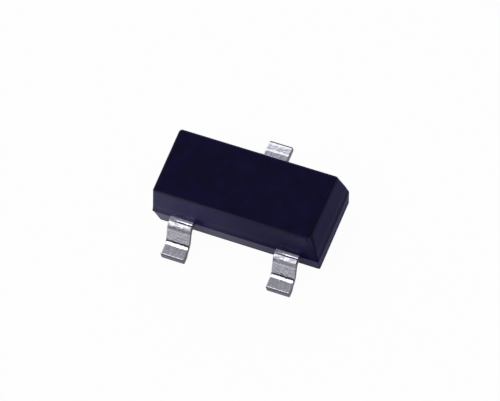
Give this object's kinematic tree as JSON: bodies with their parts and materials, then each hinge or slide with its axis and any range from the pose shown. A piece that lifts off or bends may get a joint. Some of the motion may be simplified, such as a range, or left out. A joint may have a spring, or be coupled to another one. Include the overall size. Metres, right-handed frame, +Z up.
{
  "type": "sot-23 transistor",
  "caption": "Small black epoxy-moulded transistor with tinned gull-wing leads on two sides, for soldering flat to a circuit board.",
  "frame": {"origin": "middle of the package on the board plane, under the centre of the bounding box, at the level of the feet's soles", "axes": "+X along the moulding from the base lead's end to the emitter lead's end, +Y towards the single collector lead, +Z up from the board"},
  "size_m": [0.003, 0.0026, 0.0011],
  "materials": {
    "epoxy_moulding": "satin",
    "tinned_leads": "satin",
    "die_solder": "satin",
    "silicon": "polished",
    "gold_wire": "polished"
  },
  "bodies": {
    "root": {"moulded_body": "epoxy_moulding", "base_lead": "tinned_leads", "emitter_lead": "tinned_leads", "collector_lead": "tinned_leads", "die_attach": "die_solder", "transistor_die": "silicon", "base_bond_wire": "gold_wire", "emitter_bond_wire": "gold_wire"}
  },
  "joints": []
}
